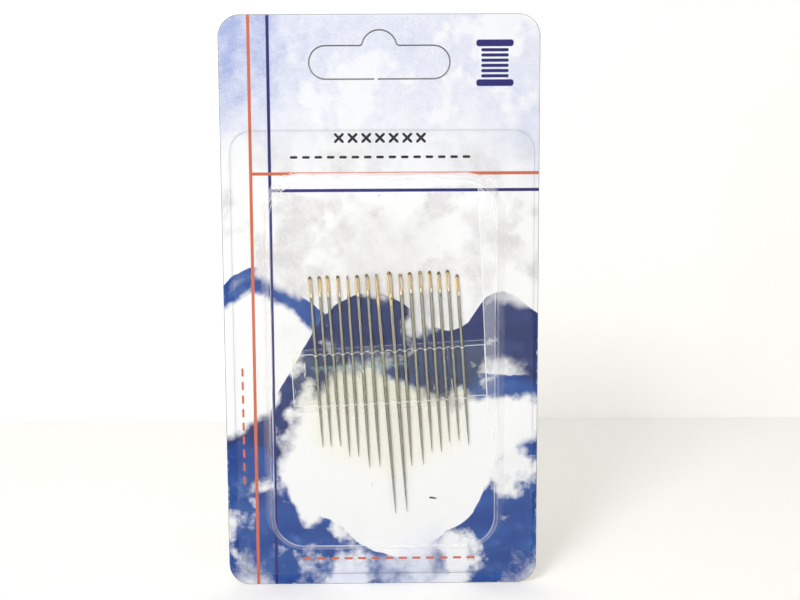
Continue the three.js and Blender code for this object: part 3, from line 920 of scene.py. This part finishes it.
def needle_mesh(name, length, wire_size, eye):
    """A needle with its top at the origin, its point downwards and its eye across X."""
    bore = eye["width"] / 2
    eye_half = bore + eye["side"]
    eye_thick = eye["thick"] / 2
    crown = EYE_CROWN + bore
    slot_end = EYE_CROWN + eye["slot"]
    neck = slot_end - EYE_NECK / 3
    round_off = [math.radians(a) for a in SLOT_ANGLES]
    upper = [EYE_CROWN + bore * (1 - math.cos(a)) for a in round_off]
    lower = [slot_end - bore * (1 - math.cos(a)) for a in reversed(round_off)]
    slot = upper + evenly(upper[-1], lower[0], SLOT_STEPS)[1:-1] + lower
    over = [crown * (1 - math.cos(math.radians(a))) * CROWN_REACH for a in CROWN_ANGLES]
    stations = [station for station in over if station < slot[0] - LEAST_STEP] + slot
    stations += evenly(slot_end, slot_end + GUTTER_LENGTH, GUTTER_STEPS)[1:]
    taper = length * eye["taper"]
    shaft_end = length - taper
    stations += evenly(stations[-1], shaft_end, SHAFT_STEPS)[1:]
    stations += [length - taper * (1 - share) ** TAPER_CROWDING for share in evenly(0, 1, TAPER_STEPS)[1:]]

    def swell(along):
        if along < crown:
            short_of = 1 - along / crown
            top = math.sqrt(max(CROWN_BLUNT, 1 - short_of**2))
            return eye_half * top, eye_thick * top
        share = min(1, max(0, (along - neck) / EYE_NECK))
        share = share * share * (3 - 2 * share)
        half, deep = (part + (wire_size / 2 - part) * share for part in (eye_half, eye_thick))
        if along > shaft_end:
            left = max(0.0, (length - along) / taper)
            ground = math.sin(left * math.pi / 2) ** TAPER_CURVE
            half = deep = TIP_RADIUS + (wire_size / 2 - TIP_RADIUS) * ground
        return half, deep

    def slot_half(along):
        if along < slot[0] or along > slot[-1]:
            return LIP_SHARE * bore
        from_end = min(along - EYE_CROWN, slot_end - along)
        if from_end >= bore:
            return bore
        return math.sqrt(bore**2 - (bore - from_end) ** 2)

    bm = bmesh.new()
    rings = []
    for along in stations:
        half, deep = swell(along)
        lip = min(slot_half(along), LIP_SHARE * half)
        sink = 0.0
        if slot_end < along < slot_end + GUTTER_LENGTH:
            sink = GUTTER_DEPTH * (1 - (along - slot_end) / GUTTER_LENGTH) ** 2
        opening = math.acos(lip / half)
        sides = [opening * (1 - 2 * (k + 1) / (SIDE_POINTS + 1)) for k in range(SIDE_POINTS)]
        edge_deep = deep * math.sin(opening)
        right = [(half * math.cos(t), -deep * math.sin(t)) for t in sides]
        left = [(-across, through) for across, through in reversed(right)]
        front = [(-lip, -edge_deep), (0, -deep + sink), (lip, -edge_deep)]
        back = [(lip, edge_deep), (0, deep - sink), (-lip, edge_deep)]
        rings.append([bm.verts.new((a, t, -along)) for a, t in front + right + back + left])
    first, last = stations.index(slot[0]), stations.index(slot[-1])
    count = len(rings[0])
    front_columns = (0, 1)
    back_columns = (3 + SIDE_POINTS, 4 + SIDE_POINTS)
    for station, (one, other) in enumerate(zip(rings, rings[1:])):
        for k in range(count):
            if first <= station < last and k in front_columns + back_columns:
                continue
            after = (k + 1) % count
            bm.faces.new((one[k], one[after], other[after], other[k]))
    bm.faces.new(rings[0])
    bm.faces.new(rings[-1])
    slot_edges = []
    back_left = back_columns[0] + 2
    for front_side, back_side in ((0, back_left), (2, back_columns[0])):
        for station in range(first, last):
            one, other = rings[station], rings[station + 1]
            bm.faces.new((one[front_side], other[front_side], other[back_side], one[back_side]))
            slot_edges += [(one[k], other[k]) for k in (front_side, back_side)]
    for station in (first, last):
        line = rings[station]
        for k in range(2):
            facing = (line[k], line[k + 1], line[back_left - 1 - k], line[back_left - k])
            bm.faces.new(facing)
            slot_edges += [facing[:2], facing[2:]]
    bmesh.ops.delete(bm, geom=[v for v in bm.verts if not v.link_faces], context="VERTS")
    bmesh.ops.recalc_face_normals(bm, faces=bm.faces)
    edges = [bm.edges.get(pair) for pair in slot_edges]
    bmesh.ops.bevel(
        bm, geom=edges, offset=SLOT_ROUND, segments=2, profile=0.5, affect="EDGES", clamp_overlap=True
    )
    for face in bm.faces:
        face.smooth = True
    return finished_mesh(name, bm)


# Drawn wire: fine scores along the needle, and smears left by polishing and by fingers
scores, given, made = new_group("drawn_scores", {"Vector": "Vector"}, {"Score": "Float", "Smear": "Float"})
along_wire = stretched(scores, given["Vector"], scale=(1.0, 1.0, 0.03))
score = noise(scores, along_wire, size=0.3, detail=1.0)
smear = noise(scores, given["Vector"], size=2.6, detail=3.0, roughness=0.6)
put_out(scores, made, Score=score, Smear=smear)

# Nickel and gold are set darker than the bare metals: painted shade for the dim room that they mirror
NICKEL = (0.34, 0.33, 0.275, 1)
NICKEL_DULL = (0.27, 0.26, 0.205, 1)
GOLD = (0.72, 0.55, 0.26, 1)
GOLD_DARKENED = (0.20, 0.12, 0.04, 1)
GLINT = (1.0, 0.95, 0.82, 1)
DIP_SWING = 1.6
CROWN_DARK_SWING = 0.6
CROWN_DARKENING = (0.6, 1.5)
GLINT_ROUGH = 0.42


def plated_steel(name, eye):
    """Nickel-plated wire, with gold round its eye that is darker towards the crown, and a painted highlight:
    a pale, less metallic patch in its gutter that shows as a glint.
    """
    material, tree = new_material(name)
    place = own_millimetres(tree)
    across, _, height = split(tree, place)
    along = product(tree, height, -1.0)
    score, smear = use_group(tree, scores, Vector=place)
    gold_end = eye["gold"] / MM + DIP_SWING / 2
    dipped = calc(tree, "MULTIPLY_ADD", smear, DIP_SWING, along)
    gold = fade(tree, dipped, gold_end, gold_end + eye["gold_fade"] / MM)
    steel = tint(tree, ease(tree, score, *NOISE_SPAN), NICKEL, NICKEL_DULL)
    # The gold is darker towards the crown, by a swing of the smear noise
    crown = calc(tree, "MULTIPLY_ADD", smear, CROWN_DARK_SWING, along)
    plate = tint(tree, fade(tree, crown, *CROWN_DARKENING), GOLD, GOLD_DARKENED)
    # Painted highlight: a pale, less metallic patch just below the slot, across the gutter, that shows as a
    # glint
    below_slot = calc(tree, "SUBTRACT", along, (EYE_CROWN + eye["slot"]) / MM)
    glint_patch = product(
        tree,
        ease(tree, below_slot, start=-0.5, end=0.0),
        fade(tree, below_slot, start=0.5, end=1.3),
        fade(tree, calc(tree, "ABSOLUTE", across), start=0.1, end=0.24),
    )
    polish = ease(tree, smear, *NOISE_SPAN, low=0.13, high=0.19)
    metal = add(
        tree,
        "ShaderNodeBsdfPrincipled",
        Base_Color=tint(tree, glint_patch, tint(tree, gold, steel, plate), GLINT),
        Metallic=calc(tree, "SUBTRACT", 1.0, glint_patch),
        Roughness=ease(tree, glint_patch, 0.0, 1.0, polish, GLINT_ROUGH),
    )
    surface(tree, metal)
    return material


fine_steel = plated_steel("needle_steel", FINE)
darner_steel = plated_steel("darner_steel", DARNER)
lies = {node: lie_of(node) for node in NEEDLES}
for node, (top, axis, across, length, wire_size) in lies.items():
    eye, steel = (DARNER, darner_steel) if length > DARNER_FROM else (FINE, fine_steel)
    mesh = needle_mesh(f"{node}_polished", length, wire_size, eye)
    through = axis.cross(across)
    lie = Matrix((across, through, axis)).transposed().to_4x4()
    lie.translation = top
    make_piece(f"{node}_polished", mesh, (steel,), node, node, lie)

# Front tape
# The same film tape, narrower, pressed down over the needles. It stands up over each wire in a little
# tent, lies flat between them, and its cut edges catch the light, painted on as a whitish highlight along
# them.
TENT_GAP = 0.05 * MM
TENT_FOOT = 0.4 * MM
TENT_ARC = math.radians(60)
TENT_STEPS = 10
FOOT_STEPS = 4
TAPE_ROWS = 10
SCRATCHES = ((16.3, 8.2, 0.7, 0.6), (15.4, 6.4, 0.6, 0.45))
FOLDS = ((16.0, 8.7, 12.5),)
tape_flat = back_front - SEAL_GAP - TAPE_FILM
front_lie, front_length, front_width = strip_frame("front_tape")
into_strip = front_lie.inverted()


def tent(start, slant, arc_radius, up):
    """The tape's front face across one needle: up a flank, over the wire in an arc, and down again.
    The tape is drawn down a little where it climbs."""
    shoulder = arc_radius * math.sin(TENT_ARC)
    reach = arc_radius - TAPE_FILM + TENT_FOOT
    high = start.y - arc_radius * math.cos(TENT_ARC)
    over = [(a, start.y - math.sqrt(arc_radius**2 - a**2)) for a in evenly(0, shoulder, TENT_STEPS)]
    shares = evenly(0, 1, FOOT_STEPS)[1:]
    flank = [(shoulder + (reach - shoulder) * share, high + (tape_flat - high) * share) for share in shares]
    right = over + flank
    centre = start.x + slant * (up - start.z)
    left = [(-aside, depth) for aside, depth in reversed(right[1:])]
    return [(centre + aside, depth, up - TENT_PULL * (tape_flat - depth)) for aside, depth in left + right]


front_rows = []
for up in evenly(0, front_width, TAPE_ROWS):
    row = [(0.0, tape_flat, up)]
    for top, axis, across, length, wire_size in lies.values():
        start, way = into_strip @ top, into_strip.to_3x3() @ axis
        row += tent(start, way.x / way.z, wire_size / 2 + TENT_GAP + TAPE_FILM, up)
    front_rows.append(row + [(front_length, tape_flat, up)])
front_mesh = strip_mesh("clear_front_tape", front_rows)
front_clear = tape_material(
    "clear_front_tape", front_length, front_width, tape_flat, edge_highlight=0.7, scratched=SCRATCHES, folds=FOLDS
)
front_faces = (front_clear, tape_cut)
make_piece("clear_front_tape", front_mesh, front_faces, "card", "front_tape", front_lie)

# Blister
# Clear PVC film, thermoformed over a mould into a shallow drafted dome, then die cut and heat sealed to
# the card by its flange. The drawn walls are milky, and the film keeps a faint wave and a few scuffs.
# The strong white wash on the head wall, the bright lines along the rim and the pale veil down the right
# of the face are painted reflections and painted highlights.
blister_low, blister_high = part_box("blister")
FILM = 0.3 * MM
DOME_DRAFT = 2.1 * MM
DOME_CORNER = 9.6 * MM
DOME_CORNER_LEAST = 0.4 * MM
DOME_RIM_ROUND = 1.3 * MM
DOME_ROOT_ROUND = 0.7 * MM
FLANGE_SIDE = 6.5 * MM
FLANGE_HEAD = 9.4 * MM
FLANGE_FOOT = 5.9 * MM
FLANGE_CORNER = 4.8 * MM
BEND_STEPS = 8
SIDE_STEPS = 16
LONG_SIDE = 8 * MM
FACE_RINGS = 8
FACE_CROWDING = 0.8
FACE_REACH = 22.5 * MM
DOME_WAVE = 0.05 * MM
WAVE_ACROSS, WAVE_UP = 6.1 * MM, 9.3 * MM
WAVE_START = (0.7, 0.4)
WAVE_ONSET = 3
RIPPLE_ACROSS, RIPPLE_UP = 3.7 * MM, 5.3 * MM
RIPPLE_SHARE = 0.5
AT_ROOT, AT_RIM, AT_FACE = 0, 2, 4
dome_depth = FRONT - blister_low.y
dome_low = Vector((blister_low.x + FLANGE_SIDE, blister_low.z + FLANGE_FOOT))
dome_high = Vector((blister_high.x - FLANGE_SIDE, blister_high.z - FLANGE_HEAD))


def bend_round(start, corner, end, radius):
    """Points of a round that takes the corner between two straight runs of the dome's section."""
    inward, onward = (start - corner).normalized(), (end - corner).normalized()
    half = inward.angle(onward) / 2
    centre = corner + (inward + onward).normalized() * (radius / math.sin(half))
    first = corner + inward * (radius / math.tan(half)) - centre
    sweep = (math.pi - 2 * half) * math.copysign(1, -inward.cross(onward))
    return [centre + Matrix.Rotation(sweep * k / BEND_STEPS, 2) @ first for k in range(BEND_STEPS + 1)]


def dome_section(inset):
    """The root's bend and the rim's bend: how far in from the foot line, and how high off the card."""
    slope = DOME_DRAFT / dome_depth
    aside = inset * math.hypot(1, slope)
    low, high = FILM - inset, dome_depth - inset
    foot, rim = Vector((aside + slope * low, low)), Vector((aside + slope * high, high))
    outside, inside = Vector((foot.x - FLANGE_SIDE, low)), Vector((rim.x + DOME_CORNER, high))
    root = bend_round(outside, foot, rim, DOME_ROOT_ROUND + inset)
    return root, bend_round(foot, rim, inside, DOME_RIM_ROUND - inset)


def long_sides(points):
    """The outline again, with its straight sides divided so that the film can wave."""
    out = []
    for k, point in enumerate(points):
        before, here = Vector(points[k - 1]), Vector(point)
        if (here - before).length > LONG_SIDE:
            out += [tuple(before.lerp(here, step / SIDE_STEPS)) for step in range(1, SIDE_STEPS)]
        out.append(point)
    return out


def dome_outline(inset):
    bend = max(DOME_CORNER - inset, DOME_CORNER_LEAST)
    drawn_in = Vector((inset, inset))
    return long_sides(round_rectangle(dome_low + drawn_in, dome_high - drawn_in, bend))


def film_wave(across, up):
    """How far the formed film stands off its true face there."""
    broad = math.sin(across / WAVE_ACROSS + WAVE_START[0]) * math.cos(up / WAVE_UP + WAVE_START[1])
    return DOME_WAVE * (broad + RIPPLE_SHARE * math.sin(across / RIPPLE_ACROSS - up / RIPPLE_UP))


def blister_mesh(name):
    """The formed film, which keeps on each point how far it is formed: 0 on the flange, to 1 round the
    root, 2 to 3 round the rim, and 4 on the face."""
    bm = bmesh.new()
    formed = bm.verts.layers.float.new("formed")
    rims = []
    for inset in (0.0, FILM - SEAL_GAP):
        flange = long_sides(round_rectangle(blister_low.xz, blister_high.xz, FLANGE_CORNER))
        rings = [ring(bm, flange, FRONT - FILM + inset)]
        root, rim = dome_section(inset)
        last = rim[-1]
        shares = [step**FACE_CROWDING for step in evenly(0, 1, FACE_RINGS)[1:]]
        profile = []
        for start, bend in ((AT_ROOT, root), (AT_RIM, rim)):
            profile += [(aside, high, start + k / BEND_STEPS) for k, (aside, high) in enumerate(bend)]
        profile += [(last.x + (FACE_REACH - last.x) * share, last.y, AT_FACE) for share in shares]
        for aside, high, stage in profile:
            rise = max(0.0, (high - FILM) / (dome_depth - FILM)) ** WAVE_ONSET
            points = dome_outline(aside)
            line = ring(bm, points, FRONT - high)
            for vert, (across, up) in zip(line, points):
                vert.co.y += rise * film_wave(across, up)
                vert[formed] = stage
            rings.append(line)
        for one, other in zip(rings, rings[1:]):
            for face in bridge(bm, one, other):
                face.smooth = True
        for face in fill(bm, rings[-1:]):
            face.smooth = True
        rims.append(rings[0])
    close_cut(bm, *rims)
    return finished_mesh(name, bm)


PVC_CLEAR = (0.998, 0.998, 0.995, 1)
PVC_MILK = (0.95, 0.95, 0.95, 1)
PVC_CUT_CLEAR = (0.60, 0.61, 0.64, 1)
PVC_CUT_GREY = (0.26, 0.27, 0.30, 1)
OUTER_RIM_HIGHLIGHT, INNER_RIM_HIGHLIGHT = 2.35, 2.9
RIM_HIGHLIGHT_BAND = (0.02, 0.09)
FACE_FOLD_ACROSS = 20.35
FACE_FOLD_LEAN = 0.046
FACE_FOLD_REFLECTION = 0.12
MARK_HAZE = 0.5
CLEAN_HAZE = 0.004
clear_pvc, tree = new_material("clear_film")
place = own_millimetres(tree)
x, _, z = split(tree, place)
bent = add(tree, "ShaderNodeAttribute", {"attribute_name": "formed"}).outputs["Fac"]

# Milky drawn walls, a little more so towards the head, and a much stronger white wash on the head wall that
# is a painted reflection
dome_foot, dome_head = dome_low.y / MM, dome_high.y / MM
wall = product(tree, ease(tree, bent, start=0.3, end=1.0), fade(tree, bent, start=2.3, end=3.0))
milky = ease(tree, z, start=dome_foot + 12, end=dome_head - 10, low=0.07, high=0.12)
head_reflection = ease(tree, z, start=dome_head - 4.0, end=dome_head - 1.6, high=0.45)
upward = stretched(tree, place, scale=(0.3, 1.0, 0.3))
streak = patches(tree, upward, size=1.6, detail=3.0, low=0.7, high=1.1)
walls = product(tree, wall, calc(tree, "ADD", milky, head_reflection), streak)

# Painted highlights as bright lines along both edges of the rim, and a fold line down the right side of the
# face with a painted reflection as a pale veil to its right
inner_line = fade(tree, apart(tree, bent, INNER_RIM_HIGHLIGHT), *RIM_HIGHLIGHT_BAND)
outer_line = ease(tree, apart(tree, bent, OUTER_RIM_HIGHLIGHT), *RIM_HIGHLIGHT_BAND, low=0.6, high=0.0)
rim_highlight = calc(tree, "MAXIMUM", inner_line, outer_line)
broken = patches(tree, place, size=9.0, detail=3.0, between=(0.35, 0.65), low=0.25, high=0.6)
past_fold = calc(tree, "SUBTRACT", calc(tree, "MULTIPLY_ADD", z, FACE_FOLD_LEAN, x), FACE_FOLD_ACROSS)
fold_line = ease(tree, calc(tree, "ABSOLUTE", past_fold), start=0.04, end=0.15, low=0.5, high=0.0)
fold_reflection = product(tree, ease(tree, past_fold, start=-0.1, end=0.3), FACE_FOLD_REFLECTION)
fold_end = product(tree, ease(tree, z, start=-92.0, end=-66.0), ease(tree, bent, start=2.9, end=3.0))
fold = product(tree, calc(tree, "MAXIMUM", fold_line, fold_reflection), fold_end)
rim_highlights_and_fold = calc(tree, "MAXIMUM", product(tree, rim_highlight, broken), fold)

# Scuffs from handling, here and there, and dust
leaning = stretched(tree, place, scale=(4.0, 1.0, 0.25), turn=0.35)
scuff = patches(tree, leaning, size=2.2, between=(0.74, 0.78))
scuff_here = patches(tree, place, size=14.0, detail=1.0, between=(0.52, 0.62))
speck = use_group(tree, dust, Vector=place, Scale=0.2, Rarity=0.7, Size=0.026)["Speck"]
marks = calc(tree, "MAXIMUM", product(tree, scuff, scuff_here), speck)
# Wall haze together with the painted reflections and highlights above
haze_and_painted_light = calc(tree, "ADD", calc(tree, "ADD", walls, rim_highlights_and_fold), CLEAN_HAZE)
haze = calc(tree, "MULTIPLY_ADD", marks, MARK_HAZE, haze_and_painted_light)
gloss = patches(tree, place, size=6.0, detail=3.0, low=0.03, high=0.07)
ripple = bump(tree, noise(tree, place, size=5.0), depth=0.02 * MM, strength=0.4)
film_shader(tree, PVC_CLEAR, gloss, haze, PVC_MILK, ripple)
pvc_cut = cut_film("film_cut_edge", PVC_CUT_CLEAR, PVC_CUT_GREY)
blister_film = blister_mesh("clear_blister")
make_piece("clear_blister", blister_film, (clear_pvc, pvc_cut), "blister", "blister")

# Studio
# The pack stands on a white floor before a white wall. A soft key lamp at the front left gives the shadow
# its edge, two strips and a bar in front draw lines of light on wires and films, and a panel hangs above.
FLOOR = card_low.z
WALL_BEHIND = 178 * MM
STAGE_HALF = 1.6
STAGE_WHITE = (0.985, 0.97, 0.945, 1)
FLOOR_LIFT = 0.12
WALL_LIFT = 0.165
FAR_LIFT = 0.6
FAR_FROM, FAR_FULL = 0.34, 0.80


def seen_straight(tree):
    """The kinds of ray, and whether one comes from the camera, also by way of something clear."""
    rays = tree.nodes.new("ShaderNodeLightPath").outputs
    return rays, calc(tree, "MAXIMUM", rays["Is Camera Ray"], rays["Is Transmission Ray"])


def stage_plane(name, low, high, near_lift):
    """A white sheet between two opposite corners, which shows from its front only and is lifted towards
    white where it is looked at."""
    bm = bmesh.new()
    points = (low, (high[0], *low[1:]), high, (low[0], *high[1:]))
    bm.faces.new([bm.verts.new(point) for point in points])
    mesh = bpy.data.meshes.new(name)
    bm.to_mesh(mesh)
    bm.free()
    material, tree = new_material(name)
    mesh.materials.append(material)
    paper = add(tree, "ShaderNodeBsdfDiffuse", Color=STAGE_WHITE)
    rays, straight = seen_straight(tree)
    seen = calc(tree, "MAXIMUM", straight, rays["Is Glossy Ray"])
    away = add(tree, "ShaderNodeVectorMath", {"operation": "LENGTH"})
    tree.links.new(tree.nodes.new("ShaderNodeTexCoord").outputs["Object"], away.inputs[0])
    distant = ease(tree, away.outputs["Value"], FAR_FROM, FAR_FULL, high=FAR_LIFT)
    lifted = product(tree, seen, calc(tree, "ADD", distant, near_lift))
    lift = add(tree, "ShaderNodeEmission", Strength=lifted)
    white = tree.nodes.new("ShaderNodeAddShader")
    tree.links.new(paper.outputs[0], white.inputs[0])
    tree.links.new(lift.outputs[0], white.inputs[1])
    unseen = add(tree, "ShaderNodeBsdfTransparent")
    behind = add(tree, "ShaderNodeNewGeometry").outputs["Backfacing"]
    surface(tree, blend(tree, behind, white, unseen))
    plane = bpy.data.objects.new(name, mesh)
    scene.collection.objects.link(plane)


stage_plane("floor", (-STAGE_HALF, -STAGE_HALF, FLOOR), (STAGE_HALF, STAGE_HALF, FLOOR), FLOOR_LIFT)
stage_plane("wall", (-STAGE_HALF, WALL_BEHIND, FLOOR), (STAGE_HALF, WALL_BEHIND, STAGE_HALF), WALL_LIFT)
middle = (cad_box[0] + cad_box[1]) / 2


def lamp(name, place, width, height, power, colour=(1.0, 1.0, 1.0)):
    """A flat lamp that faces the middle of the pack."""
    data = bpy.data.lights.new(name, "AREA")
    data.shape = "RECTANGLE"
    data.size, data.size_y = width, height
    data.energy = power
    data.color = colour
    light = bpy.data.objects.new(name, data)
    light.location = place
    light.rotation_euler = (middle - Vector(place)).to_track_quat("-Z", "Y").to_euler()
    scene.collection.objects.link(light)


COOL_LIGHT = (0.95, 0.975, 1.0)
WARM_LIGHT = (1.0, 0.98, 0.95)
lamp("key", place=(-0.27, -0.60, 0.41), width=0.20, height=0.20, power=2.80, colour=COOL_LIGHT)
lamp("right_strip", place=(0.45, -0.30, 0.03), width=0.03, height=0.30, power=0.10, colour=WARM_LIGHT)
lamp("left_strip", place=(-0.40, -0.38, 0.03), width=0.03, height=0.30, power=0.18)
lamp("top", place=(0.0, -0.18, 0.55), width=0.35, height=0.08, power=0.40)
lamp("bar", place=(0.0, -0.62, 0.10), width=0.30, height=0.05, power=0.22)

# The room: dim and warm, with a cool window at the front left, dimmer behind the camera, white to look at
ROOM_LIGHT = 0.27
ROOM_WARM = (1.0, 0.90, 0.72, 1)
WINDOW_LIGHT = 0.22
WINDOW_COOL = (0.96, 0.98, 1.0, 1)
WINDOW_WAY = Vector((-0.60, -0.58, 0.55)).normalized()
CAMERA_SIDE = 0.40
CAMERA_CONE = (0.90, 0.98)
SEEN_WHITE = (1.0, 1.0, 1.0, 1)
world = bpy.data.worlds.new("studio")
world.use_nodes = True
tree = world.node_tree
way = tree.nodes.new("ShaderNodeTexCoord").outputs["Generated"]
backward = split(tree, way)[1]
window = add(tree, "ShaderNodeVectorMath", {"operation": "DOT_PRODUCT"})
wire(tree, window.inputs[0], way)
wire(tree, window.inputs[1], WINDOW_WAY)
glow = ease(tree, window.outputs["Value"], 0.0, 1.0)
level = calc(tree, "MULTIPLY_ADD", glow, WINDOW_LIGHT, ROOM_LIGHT)
to_camera = product(tree, backward, -1.0)
level = product(tree, level, ease(tree, to_camera, *CAMERA_CONE, low=1.0, high=CAMERA_SIDE))
rays, straight = seen_straight(tree)
behind = calc(tree, "GREATER_THAN", backward, 0.0)
seen = calc(tree, "MAXIMUM", straight, product(tree, rays["Is Glossy Ray"], behind))
room = tree.nodes["Background"]
wire(tree, room.inputs["Color"], tint(tree, seen, tint(tree, glow, ROOM_WARM, WINDOW_COOL), SEEN_WHITE))
wire(tree, room.inputs["Strength"], ease(tree, seen, 0.0, 1.0, low=level, high=1.0))
scene.world = world
scene.view_settings.view_transform = "Standard"
scene.cycles.transparent_max_bounces = 24

# The camera, a little above the pack's middle and looking slightly down at it
CAMERA_PLACE = (2.3 * MM, -252.1 * MM, -29.4 * MM)
CAMERA_TURN = (83.75, 0.3, -0.5)
LENS = 49.5
SENSOR = 36.0
CLIP_START = 0.005
camera = bpy.data.objects.new("camera", bpy.data.cameras.new("camera"))
camera.data.lens = LENS
camera.data.sensor_width = SENSOR
camera.data.clip_start = CLIP_START
camera.location = CAMERA_PLACE
camera.rotation_euler = [math.radians(angle) for angle in CAMERA_TURN]
scene.collection.objects.link(camera)
scene.camera = camera
